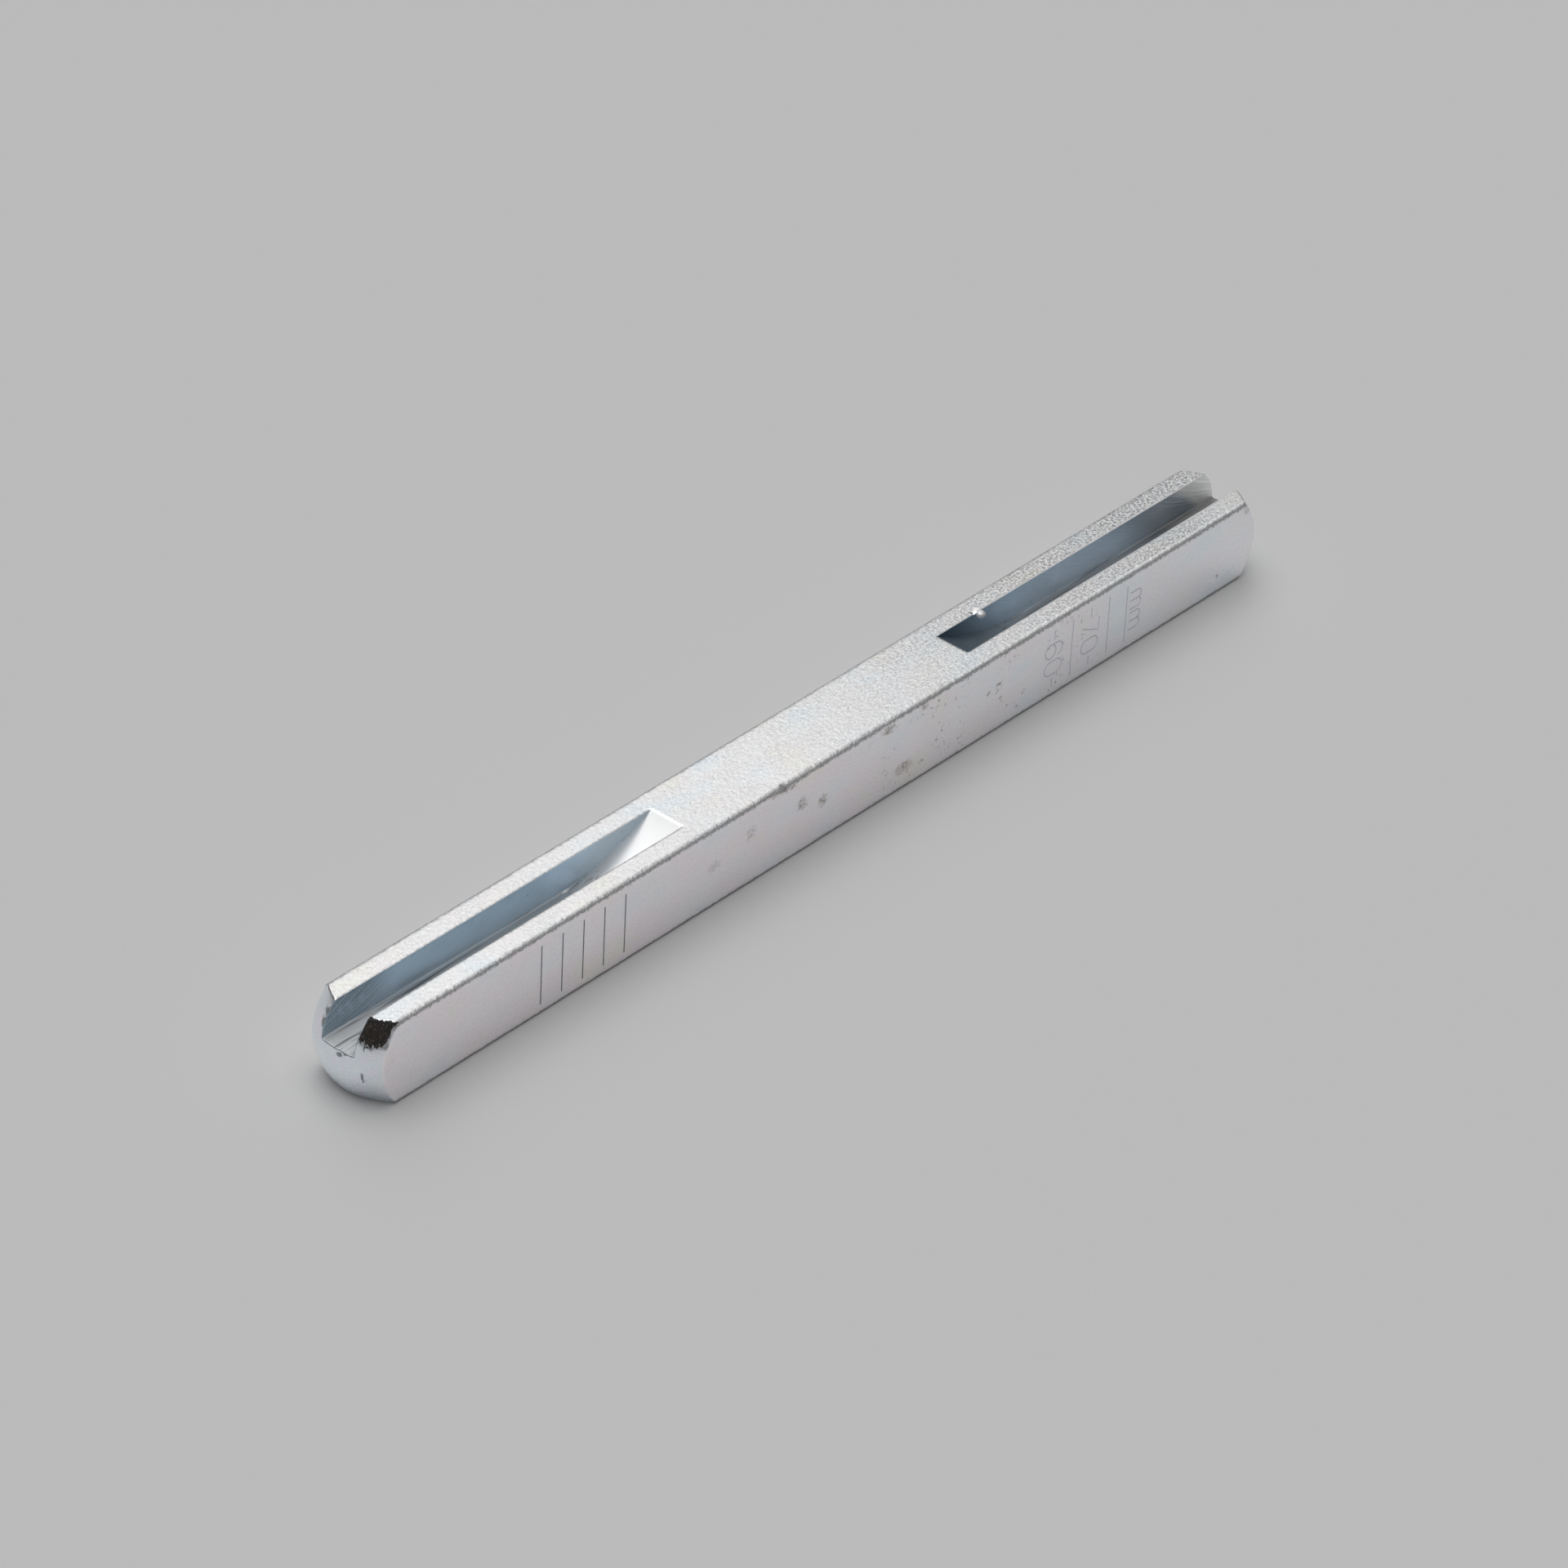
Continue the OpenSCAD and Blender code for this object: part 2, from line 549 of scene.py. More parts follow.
class DarkSpot:
    """The near-black, rough spot on the front leg's tip at the plain end: partly a rough spot, partly painted
    dark reflection.
    """

    LOW = 6.1
    INNER = -1.1
    OUTER = -3.85
    TOP = 7.97

    @classmethod
    def share(cls, size: BarSizes, x: np.ndarray, y: np.ndarray, z: np.ndarray) -> np.ndarray:
        """How much each point belongs to the spot, from 0 to 1.

        Args:
            size: Sizes of the bar.
            x: Places along the bar.
            y: Places across it.
            z: Heights.

        Returns:
            The shares.
        """
        reach = size.half_length - (np.hypot(y, z - size.half_width) - size.tip_radius)
        on_tip = np.clip((-x - reach + 0.25) / 0.1, 0, 1)
        return on_tip * np.clip((z - cls.LOW) / 0.3, 0, 1) * (y < cls.INNER)

    @classmethod
    def mask(cls, at: "Place", size: BarSizes) -> "Value":
        """How much each shading point belongs to the dark spot, which is partly painted dark reflection: the
        leg's tip and a ragged sliver of the top face.

        Args:
            at: Place of the shading point.
            size: Sizes of the bar.

        Returns:
            The share, from 0 to 1.
        """
        ragged = at.noise(0.34, 4.0, 0.75, (1, 1, 0.5)) - 0.5
        reach = size.half_length + size.tip_radius - hypotenuse(at.y, at.z - size.half_width)
        pitted = 0.35 * at.z.rise(cls.TOP, cls.TOP - 0.12)
        on_tip = (reach + at.x + 1.5 * ragged - pitted).rise(0.34, 0.24)
        sag = 0.42 * (at.y + 2.8) * (at.y + 2.8)
        height = (at.z + 1.9 * ragged - sag).rise(cls.LOW - 0.2, cls.LOW + 0.05)
        inner = (at.y + 0.8 * ragged).rise(cls.INNER + 0.1, cls.INNER - 0.02)
        outer = (at.y - 0.8 * ragged).rise(cls.OUTER, cls.OUTER + 0.2)
        return on_tip * height * inner * outer


def math_method(operation: str, swapped: bool = False) -> Callable[["Value", Any], "Value"]:
    """Makes a method of Value that adds a Math node of two terms.

    Args:
        operation: The node's operation.
        swapped: Whether the other term comes first.

    Returns:
        The method.
    """
    def method(self: "Value", other: Any) -> "Value":
        """Adds the node."""
        first, second = (other, self) if swapped else (self, other)
        return self.graph.value("ShaderNodeMath", {0: first, 1: second}, operation=operation)
    return method


class Value:
    """A number socket that takes part in Python sums, each of which adds a Math node."""

    __add__ = math_method("ADD")
    __radd__ = math_method("ADD", swapped=True)
    __sub__ = math_method("SUBTRACT")
    __rsub__ = math_method("SUBTRACT", swapped=True)
    __mul__ = math_method("MULTIPLY")
    __rmul__ = math_method("MULTIPLY", swapped=True)
    __truediv__ = math_method("DIVIDE")
    most = math_method("MAXIMUM")
    least = math_method("MINIMUM")

    def __init__(self, graph: "Graph", socket: bpy.types.NodeSocket) -> None:
        """Wraps a socket of a node tree."""
        self.graph = graph
        self.socket = socket

    def __abs__(self) -> "Value":
        """This without its sign."""
        return self.graph.value("ShaderNodeMath", {0: self}, operation="ABSOLUTE")

    def root(self) -> "Value":
        """Square root of this."""
        return self.graph.value("ShaderNodeMath", {0: self}, operation="SQRT")

    def rise(self, low: float, high: float) -> "Value":
        """A smooth step from 0 at low to 1 at high, or a fall when low is above high.

        Args:
            low: Where the step is 0.
            high: Where it is 1.

        Returns:
            The step.
        """
        ends = (0.0, 1.0)
        if low > high:
            low, high, ends = high, low, (1.0, 0.0)
        inputs = {"Value": self, "From Min": low, "From Max": high, "To Min": ends[0], "To Max": ends[1]}
        return self.graph.value("ShaderNodeMapRange", inputs, interpolation_type="SMOOTHSTEP")


def hypotenuse(first: Value, second: Value) -> Value:
    """Length of a step with these two parts."""
    return (first * first + second * second).root()


class Graph:
    """A node tree under construction."""

    def __init__(self, tree: bpy.types.NodeTree) -> None:
        """Keeps the tree."""
        self.tree = tree

    def node(self, kind: str, inputs: dict[Any, Any] | None = None, **settings: Any) -> bpy.types.Node:
        """Adds a node.

        Args:
            kind: The node's type name.
            inputs: What feed takes, by the input socket's name or number.
            **settings: Properties, which are set before the sockets. "stops" fills a colour ramp.

        Returns:
            The new node.
        """
        made = self.tree.nodes.new(kind)
        for key, value in settings.items():
            if key == "stops":
                self._fill_ramp(made.color_ramp, value)
            else:
                setattr(made, key, value)
        for key, value in (inputs or {}).items():
            self.feed(made.inputs[key], value)
        return made

    def _fill_ramp(self, ramp: bpy.types.ColorRamp, stops: Sequence[tuple[float, Colour]]) -> None:
        """Sets the stops of a colour ramp.

        Args:
            ramp: The ramp.
            stops: Place and colour of each stop.
        """
        while len(ramp.elements) < len(stops):
            ramp.elements.new(1.0)
        for element, (place, colour) in zip(ramp.elements, stops):
            element.position = place
            element.color = (*colour, 1.0)

    def feed(self, socket: bpy.types.NodeSocket, value: Any) -> None:
        """Links a socket, or sets its value.

        Args:
            socket: The input socket.
            value: A Value, a socket, a node, whose first output is meant, a list of these, or what to set.
        """
        if isinstance(value, list):
            for one in value:
                self.feed(socket, one)
        elif isinstance(value, Value):
            self.tree.links.new(value.socket, socket)
        elif isinstance(value, bpy.types.NodeSocket):
            self.tree.links.new(value, socket)
        elif isinstance(value, bpy.types.Node):
            self.tree.links.new(value.outputs[0], socket)
        else:
            socket.default_value = (*value, 1.0) if socket.type == "RGBA" else value

    def value(self, kind: str, inputs: dict[Any, Any], output: Any = 0, **settings: Any) -> Value:
        """Adds a node and wraps one of its outputs as a number."""
        return Value(self, self.node(kind, inputs, **settings).outputs[output])

    def mix(self, share: Any, first: Any, second: Any) -> bpy.types.NodeSocket:
        """A colour between first and second."""
        return self.node("ShaderNodeMix", {0: share, 6: first, 7: second}, data_type="RGBA").outputs[2]

    def coats(self, colour: Any, *coats: tuple[Any, Any]) -> Any:
        """The colour under these coats, each of which is a share and a colour.

        Args:
            colour: The colour below.
            *coats: Share and colour of each coat, from the lowest up.

        Returns:
            The mixed colour.
        """
        for share, coat in coats:
            colour = self.mix(share, colour, coat)
        return colour

    def tint(self, share: Any, *stops: tuple[float, Colour]) -> bpy.types.NodeSocket:
        """A colour ramp read at share."""
        return self.node("ShaderNodeValToRGB", {0: share}, stops=stops).outputs[0]


@dataclass(frozen=True)
class Place:
    """Where a shading point is, in millimetres, and how far its face looks up."""

    graph: Graph
    vector: bpy.types.NodeSocket
    x: Value
    y: Value
    z: Value
    facing_z: Value

    @classmethod
    def of(cls, graph: Graph) -> "Place":
        """Reads the place from Object coordinates.

        Args:
            graph: Tree that takes the nodes.

        Returns:
            The place.
        """
        source = graph.node("ShaderNodeTexCoord").outputs
        scaled = graph.node("ShaderNodeVectorMath", {0: source["Object"], "Scale": 1 / MM}, operation="SCALE")
        parts = graph.node("ShaderNodeSeparateXYZ", {0: scaled}).outputs
        facing = graph.node("ShaderNodeSeparateXYZ", {0: source["Normal"]}).outputs
        return cls(graph, scaled.outputs[0], *(Value(graph, part) for part in (*parts, facing[2])))

    def noise(self, size: float, detail: float = 2.0, roughness: float = 0.5,
              stretch: Triple | None = None) -> Value:
        """Adds a noise field.

        Args:
            size: How many millimetres across its bumps are.
            detail: How many finer layers it has.
            roughness: How strong those are.
            stretch: Factors on the place, for grain that runs one way.

        Returns:
            The field, from 0 to 1.
        """
        place: Any = self.vector
        if stretch:
            place = self.graph.node("ShaderNodeVectorMath", {0: place, 1: stretch}, operation="MULTIPLY")
        return self.graph.value("ShaderNodeTexNoise", {
            "Vector": place, "Scale": 1 / size, "Detail": detail, "Roughness": roughness})


class Surface:
    """A material under construction, with a Principled node that is linked to its output."""

    def __init__(self, name: str) -> None:
        """Makes the empty material.

        Args:
            name: Name of the material.
        """
        self.material = bpy.data.materials.new(name)
        self.material.use_nodes = True
        self.material.node_tree.nodes.clear()
        self.graph = Graph(self.material.node_tree)
        self.shader = self.graph.node("ShaderNodeBsdfPrincipled")
        self.graph.node("ShaderNodeOutputMaterial", {"Surface": self.shader})

    def finish(self, colour: Any, metallic: Any, roughness: Any, height: Any = None) -> bpy.types.Material:
        """Feeds the Principled node.

        Args:
            colour: Base colour.
            metallic: Share of bare metal.
            roughness: Roughness.
            height: Relief in millimetres, if the surface has any.

        Returns:
            The material.
        """
        inputs = {"Base Color": colour, "Metallic": metallic, "Roughness": roughness}
        if height is not None:
            inputs["Normal"] = self.graph.node("ShaderNodeBump", {"Distance": MM, "Height": height})
        for name, value in inputs.items():
            self.graph.feed(self.shader.inputs[name], value)
        return self.material


@dataclass(frozen=True)
class Stain:
    """A brownish mark on the front face."""

    x: float
    z: float
    width: float
    height: float
    strength: float


@dataclass(frozen=True)
class ZincPlate:
    """Bright zinc plate on the drawn flats: passivation tints, stains and darker long edges."""

    silver: Colour = (0.91, 0.92, 0.925)
    # Colour of the sides, paler than the top's silver: partly the plating's tint, partly painted light.
    lavender: Colour = (0.985, 0.965, 1.0)
    far_blue: Colour = (0.955, 0.965, 1.0)
    # Colour of the painted highlight along the slot lips, the far front edge and round the burr.
    bright: Colour = (0.99, 0.995, 1.0)
    pewter: Colour = (0.25, 0.26, 0.27)
    edge: Colour = (0.56, 0.57, 0.575)
    rust: Colour = (0.22, 0.165, 0.115)
    roughness: float = 0.3
    # Middle of the speckle-free patch with painted highlight round the burr.
    burr: Point = (23.85, 1.95)
    far_span: Point = (-10, 50)
    tip_span: Point = (47, 53)
    belt_start: Point = (0, 14)
    belt_end: Point = (38, 24)
    # Where the speckle-free bands with painted highlight end, beside the slots and along the front edge.
    lip_line: float = 0.13
    edge_line: float = 0.52
    stains: tuple[Stain, ...] = (
        Stain(-16.6, 4.2, 0.8, 0.5, 0.30),
        Stain(-12.1, 5.3, 0.6, 0.7, 0.40),
        Stain(-7.9, 7.7, 1.5, 0.45, 0.75),
        Stain(-5.6, 5.1, 0.7, 0.6, 0.70),
        Stain(-3.0, 4.1, 0.6, 0.6, 0.60),
        Stain(5.4, 7.2, 0.9, 0.45, 0.65),
        Stain(7.7, 2.3, 1.2, 0.6, 0.60),
        Stain(10.0, 7.4, 0.5, 0.35, 0.60),
        Stain(50.6, 1.9, 0.22, 0.22, 0.95),
        Stain(54.3, 7.3, 0.5, 0.5, 0.45),
    )

    def material(self, size: BarSizes) -> bpy.types.Material:
        """Builds the finish.

        Args:
            size: Sizes of the bar, which say where its edges are.

        Returns:
            The material.
        """
        surface = Surface("zinc_plate")
        graph = surface.graph
        at = Place.of(graph)
        top = at.facing_z.rise(0.75, 0.95)
        far = at.x.rise(*self.far_span)
        grain = at.noise(0.2, 3.0, 0.7)
        peel = at.noise(0.45)
        cells = at.noise(0.25, 3.0, 0.75)
        patchy = at.noise(1.8, stretch=(0.5, 1, 1)).rise(0.3, 0.7)
        clean_and_highlight = self._clean_and_highlight_share(at, size)
        stain = self._stain_share(at)
        edge = self._edge_share(at, size)
        dark_spot = DarkSpot.mask(at, size)
        tip = 1 - 0.5 * at.x.rise(*self.tip_span) * at.y.rise(0, -1)
        amount = (0.10 + (0.56 + 0.14 * at.y.rise(-1, 1)) * far + 0.12 * patchy) * tip
        speckle = cells.rise(0.57, 0.40) * amount * (1 - clean_and_highlight)
        speckle = (speckle + 0.14 * grain.rise(0.58, 0.42)).least(1.0)
        # The sides get a paler lavender than the top faces' silver: partly the plating's tint, partly painted
        # light that brightens the sides.
        colour = graph.coats(
            self._tinted(at, self.lavender),
            (far, self._tinted(at, self.far_blue)),
            (top, self._tinted(at, self.silver)),
            (top * speckle, self.pewter),
            ((1 - top) * cells.rise(0.54, 0.40) * 0.09, self.pewter),
            (stain, self.rust),
            # Painted highlight: a pale coat on the speckle-free bands by the slot lips and the front edge,
            # and round the burr.
            (top * clean_and_highlight * 0.7, self.bright),
            (edge, self.edge),
            # The near-black spot, partly painted dark reflection, reaches from the tip onto the top face.
            (dark_spot, TurnedTip.dark_spot))
        metal = 1 - 0.5 * stain - 0.2 * edge - 0.9 * dark_spot
        rough = self.roughness + 0.12 * (peel - 0.5) + 0.1 * top * far + 0.2 * stain + 0.3 * edge
        height = 0.018 * grain * (0.6 + top * far) + 0.03 * peel + 0.04 * edge * grain
        return surface.finish(colour, metal, rough.most(0.7 * dark_spot), height)

    def _tinted(self, at: Place, base: Colour) -> bpy.types.NodeSocket:
        """The base colour with the faint pink, blue and straw tints of the passivation.

        Args:
            at: Place of the shading point.
            base: The base colour.

        Returns:
            The tinted colour.
        """
        drift = at.noise(4.0, 3.0, stretch=(0.6, 1, 1))
        red, green, blue = base
        return at.graph.tint(
            drift,
            (0.30, (red * 0.93, green * 0.99, min(1.0, blue * 1.03))),
            (0.44, base),
            (0.56, (red * 1.01, green * 0.98, blue * 0.985)),
            (0.70, (red, green * 0.99, blue * 0.92)))

    def _stain_share(self, at: Place) -> Value:
        """How stained each point is: the placed stains, broken up by noise, and a belt of specks.

        Args:
            at: Place of the shading point.

        Returns:
            The share.
        """
        ragged = 2.4 * (at.noise(0.4, 3.0, 0.7) - 0.5)
        dotted = at.noise(0.24, 2.0, 0.6).rise(0.44, 0.56)
        total: Any = 0.0
        for stain in self.stains:
            away = hypotenuse((at.x - stain.x) / stain.width, (at.z - stain.z) / stain.height)
            total = (away + ragged).rise(1.3, 0.4) * stain.strength + total
        speck = at.noise(0.42, 3.0, 0.6).rise(0.59, 0.70)
        clump = at.noise(3.2).rise(0.46, 0.60)
        belt = 0.10 + at.x.rise(*self.belt_start) * at.x.rise(*self.belt_end)
        total = total * (0.3 + 0.7 * dotted) + 0.75 * speck * belt * clump
        return total.least(1.0) * at.y.rise(-3.5, -3.8)

    def _clean_and_highlight_share(self, at: Place, size: BarSizes) -> Value:
        """How free of speckle each point is, and how much painted highlight it takes: beside the slots and
        the front edge, and round the burr.

        Args:
            at: Place of the shading point.
            size: Sizes of the bar.

        Returns:
            The share.
        """
        ragged = 0.3 * (at.noise(0.4) - 0.5)
        lip = size.slot_width / 2 + self.lip_line
        beside = (abs(at.y) + ragged).rise(lip + 0.05, lip)
        beside = beside * abs(at.x).rise(size.slot_inner - 0.1, size.slot_inner)
        rim = self.edge_line - size.half_width
        front = (at.y + ragged).rise(rim + 0.06, rim) * at.x.rise(0, 20)
        x, y = self.burr
        halo = (hypotenuse(at.x - x, at.y - y) + ragged).rise(0.42, 0.3)
        return beside.most(front).most(halo)

    def _edge_share(self, at: Place, size: BarSizes) -> Value:
        """How dark and rough each point is because it lies on one of the long edges.

        Args:
            at: Place of the shading point.
            size: Sizes of the bar.

        Returns:
            The share.
        """
        half = size.half_width
        beyond = abs(at.y).least(abs(at.z - half))
        wander = at.noise(0.26, 3.0, 0.75, (1, 0.5, 0.5))
        fleck = at.noise(0.2, 2.0, 0.7).rise(0.62, 0.44)
        return (beyond + 0.75 * (wander - 0.5)).rise(half - 0.38, half - 0.26) * (0.15 + 0.85 * fleck)


@dataclass(frozen=True)
class TurnedTip:
    """Zinc plate on the smooth turned tips, with one near-black, rough spot that is partly painted dark
    reflection.
    """

    blue: Colour = (0.925, 0.965, 1.0)
    # Colour of the near-black spot on the tip, partly painted dark reflection.
    dark_spot: Colour = (0.024, 0.020, 0.017)
    flecks: Colour = (0.17, 0.13, 0.10)
    # Colour of the painted shade in the small dents on the plain end's tip.
    dent: Colour = (0.10, 0.11, 0.12)
    roughness: float = 0.28
    dents: tuple[tuple[float, float, float, float], ...] = (
        (-2.5, 3.1, 0.13, 0.55),
        (-0.3, 4.45, 0.42, 0.16),
        (1.95, 6.25, 0.26, 0.42),
        (1.9, 7.1, 0.2, 0.45),
        (-0.9, 4.75, 0.2, 0.12),
    )

    def material(self, size: BarSizes) -> bpy.types.Material:
        """Builds the finish.

        Args:
            size: Sizes of the bar, which say where its tips begin.

        Returns:
            The material.
        """
        surface = Surface("turned_tip")
        graph = surface.graph
        at = Place.of(graph)
        drift = at.noise(2.2)
        grain = at.noise(0.16, 3.0, 0.7)
        dark_spot = DarkSpot.mask(at, size)
        dent = self._dent_shade(at)
        red, green, blue = self.blue
        colour = graph.coats(
            graph.tint(
                drift,
                (0.35, self.blue),
                (0.5, (red * 0.95, green * 0.975, blue)),
                (0.65, (red * 1.02, green * 0.96, blue))),
            # Painted shade in the dents.
            (dent * (0.4 + 0.6 * grain), self.dent),
            # Near-black spot with flecks: partly painted dark reflection.
            (dark_spot, graph.mix(grain.rise(0.54, 0.68), self.dark_spot, self.flecks)))
        rough = (self.roughness + 0.1 * (grain - 0.5)).most(0.7 * dark_spot)
        height = 0.006 * grain + 0.03 * drift + 0.1 * dark_spot * grain - 0.05 * dent
        return surface.finish(colour, 1 - 0.9 * dark_spot, rough, height)

    def _dent_shade(self, at: Place) -> Value:
        """Painted shade in the small dents on the plain end's tip: how dark each point is because of them.

        Args:
            at: Place of the shading point.

        Returns:
            The share.
        """
        wander = 1.2 * (at.noise(0.25) - 0.5)
        total: Any = 0.0
        for y, z, width, height in self.dents:
            away = hypotenuse((at.y - y) / width, (at.z - z) / height)
            total = (away + wander).rise(1.1, 0.6) + total
        return total.least(1.0) * at.x.rise(-54, -55)


@dataclass(frozen=True)
class MilledSteel:
    """Walls and floor of the slots: plated over the marks that the disc cutter left."""

    wall: Colour = (0.575, 0.69, 0.785)
    # Paler colour of the far slot's wall towards its open end: painted light.
    far_wall_lit: Colour = (0.72, 0.83, 0.93)
    # Colour of the painted shade at the far slot's inner end.
    blind_shade: Colour = (0.27, 0.35, 0.42)
    scratch: Colour = (0.16, 0.21, 0.25)
    floor_dark: Colour = (0.32, 0.32, 0.33)
    # Pale colour of the floor's streaks and ramps, also used as the painted highlight at the far slot's open
    # end.
    pale_and_highlight: Colour = (0.97, 0.975, 0.98)
    # A darker grey on the far slot's floor towards its end, and low on its walls near the end.
    slot_grey: Colour = (0.22, 0.21, 0.205)
    roughness: float = 0.27
    mouth_span: Point = (9, 4)
    # Reach from the tip over which the painted highlight on the far slot's wall comes in.
    end_highlight_span: Point = (4.8, 3.4)
    slot_grey_span: Point = (11, 6)
    # Stretches over which the painted shade at the far slot's inner end comes in and fades.
    blind_shade_start: Point = (0, 5)
    blind_shade_end: Point = (30, 17)

    def material(self, size: BarSizes) -> bpy.types.Material:
        """Builds the finish.

        Args:
            size: Sizes of the bar, which set the cutter's arcs.

        Returns:
            The material.
        """
        surface = Surface("milled_slot")
        graph = surface.graph
        at = Place.of(graph)
        away = abs(at.x)
        drop = at.z - (size.floor + size.cutter_radius)
        sweep = away + (size.cutter_radius ** 2 - drop * drop).most(0.0).root()
        arcs = graph.value("ShaderNodeTexNoise", {"W": sweep, "Scale": 3.0, "Detail": 6.0, "Roughness": 0.8},
                           noise_dimensions="1D")
        broken = at.noise(1.3)
        streaks = at.noise(0.8, 3.0, 0.6, (0.1, 4.5, 4.5))
        pits = at.noise(0.32).rise(0.70, 0.76)
        mouth_span, end_highlight_span, slot_grey_span = (
            [size.half_length - reach for reach in span]
            for span in (self.mouth_span, self.end_highlight_span, self.slot_grey_span))
        floor = at.facing_z.rise(0.4, 0.8)
        mouth = away.rise(*mouth_span)
        ramp = floor * (size.slot_inner + 0.75 * size.run_out - away).rise(0.0, 4.0)
        scratched = arcs.rise(0.50, 0.44) * (0.25 + 0.75 * mouth) * broken.rise(0.28, 0.46)
        slope = at.x + 1.2 * (at.z - 6.4) + 0.8 * (broken - 0.5)
        # Painted highlight: a pale coat on the far slot's wall near its open end.
        end = slope.rise(*end_highlight_span)
        # Darker towards the bottom of the wall near the far end.
        low = slope.rise(*slot_grey_span) * at.z.rise(7.4, 6.0)
        bottom = graph.coats(
            graph.tint(streaks, (0.34, self.floor_dark), (0.45, self.pale_and_highlight)),
            (0.35 * at.x.rise(24, 36) + 0.4 * at.x.rise(43, 50), self.slot_grey),
            (ramp, self.pale_and_highlight))
        colour = graph.coats(
            # The far slot's wall grows paler towards its open end: painted light.
            graph.mix(at.x.rise(27, 36), self.wall, self.far_wall_lit),
            (low * 0.35, self.slot_grey),
            (end, self.pale_and_highlight),
            ((scratched * 0.85).most(0.7 * pits) * (1 - 0.75 * end), self.scratch),
            (floor, bottom),
            # Painted shade over the far slot's inner end.
            (at.x.rise(*self.blind_shade_end) * at.x.rise(*self.blind_shade_start), self.blind_shade))
        height = (0.008 + 0.03 * mouth) * arcs * (1 - floor)
        height = height + streaks * floor * (1 - ramp) * (0.02 + 0.16 * mouth)
        return surface.finish(colour, 1 - 0.5 * floor * mouth, self.roughness + 0.12 * floor, height)


@dataclass(frozen=True)
class EngravedStroke:
    """The floor of an engraved stroke: dark on the plain side, almost plated over by the numbers."""

    dark: Colour = (0.27, 0.27, 0.30)
    plated: Colour = (0.66, 0.67, 0.72)
    roughness: float = 0.5

    def material(self) -> bpy.types.Material:
        """Builds the finish.

        Returns:
            The material.
        """
        surface = Surface("engraved_stroke")
        at = Place.of(surface.graph)
        worn = at.noise(0.5, 3.0, 0.6)
        numbers = at.x.rise(-5, 5) * (0.75 + 0.5 * worn)
        colour = surface.graph.mix(numbers, self.dark, self.plated)
        return surface.finish(colour, 0.9, self.roughness + 0.3 * (worn - 0.5))


def burr_material() -> bpy.types.Material:
    """Makes the finish of the burr, a dull and pale blob of plating."""
    return Surface("plated_burr").finish((0.95, 0.95, 0.96), 0.5, 0.45)


class Lettering:
    """The characters of the scale, as lines on the front face."""

    def __init__(self, bar: BarSizes, scale: ScaleSizes) -> None:
        """Keeps the sizes."""
        self.bar = bar
        self.scale = scale

    def _arc(self, centre: Point, radius: float, start: float, end: float, steps: int) -> list[Point]:
        """Points of an arc from start to end, in degrees anticlockwise."""
        turns = (math.radians(start + (end - start) * i / steps) for i in range(steps + 1))
        return [(centre[0] + radius * math.cos(a), centre[1] + radius * math.sin(a)) for a in turns]

    def strokes(self, glyph: Glyph) -> list[tuple[list[Point], bool]]:
        """Lines of one character, each with whether it closes, drawn about its middle.

        Args:
            glyph: The character.

        Returns:
            The points of each line, and whether it closes.
        """
        height, width = self.scale.digit_height, self.scale.digit_width
        rise, r = (height - width) / 2, width / 2
        if glyph is Glyph.ZERO:
            loop = self._arc((0, rise), r, 0, 180, 12) + self._arc((0, -rise), r, 180, 360, 12)
            return [(loop, True)]
        if glyph is Glyph.SIX:
            hook = self._arc((0, rise), r, 10, 180, 12)
            return [(self._arc((0, -rise), r, 0, 345, 23), True), (hook + [(-r, -rise + 0.12)], False)]
        if glyph is Glyph.SEVEN:
            return [([(-r, height / 2), (r, height / 2), (-r / 2, -height / 2)], False)]
        arch = self.scale.unit_width / 4
        spring = self.scale.unit_height - arch
        first = [(-2 * arch, 0), (-2 * arch, spring)] + self._arc((-arch, spring), arch, 165, 0, 8) + [(0, 0)]
        second = self._arc((arch, spring), arch, 165, 0, 8) + [(2 * arch, 0)]
        return [(first, False), (second, False)]

    def _layout(self) -> Iterable[tuple[Glyph, float, float]]:
        """Each character with its place along the bar and its place down the face.

        Returns:
            These three, one after another.
        """
        s = self.scale
        step = (s.digit_width + s.gap) / 2
        unit_step = (s.unit_width + s.gap) / 2
        unit_x = s.first + (s.count - 1) * s.pitch + s.gap + s.stroke / 2
        yield Glyph.SIX, s.first, -step
        yield Glyph.ZERO, s.first, step
        yield Glyph.SEVEN, s.first + 2 * s.pitch, -step
        yield Glyph.ZERO, s.first + 2 * s.pitch, step
        yield Glyph.UNIT, unit_x, -unit_step
        yield Glyph.UNIT, unit_x, unit_step

    def curve(self, name: str) -> bpy.types.Object:
        """Draws every character on the front face.

        Args:
            name: Name of the new object.

        Returns:
            A curve object of straight-segment splines, in metres.
        """
        data = bpy.data.curves.new(name, "CURVE")
        data.dimensions = "3D"
        middle = self.bar.half_width
        depth = -middle - self.scale.shallow
        for glyph, x, down in self._layout():
            for line, closed in self.strokes(glyph):
                spline = data.splines.new("POLY")
                spline.points.add(len(line) - 1)
                spline.use_cyclic_u = closed
                for point, (across, up) in zip(spline.points, line):
                    place = (x + up, depth, middle - down - across)
                    point.co = (*(c * MM for c in place), 1.0)
        obj = bpy.data.objects.new(name, data)
        bpy.context.scene.collection.objects.link(obj)
        return obj


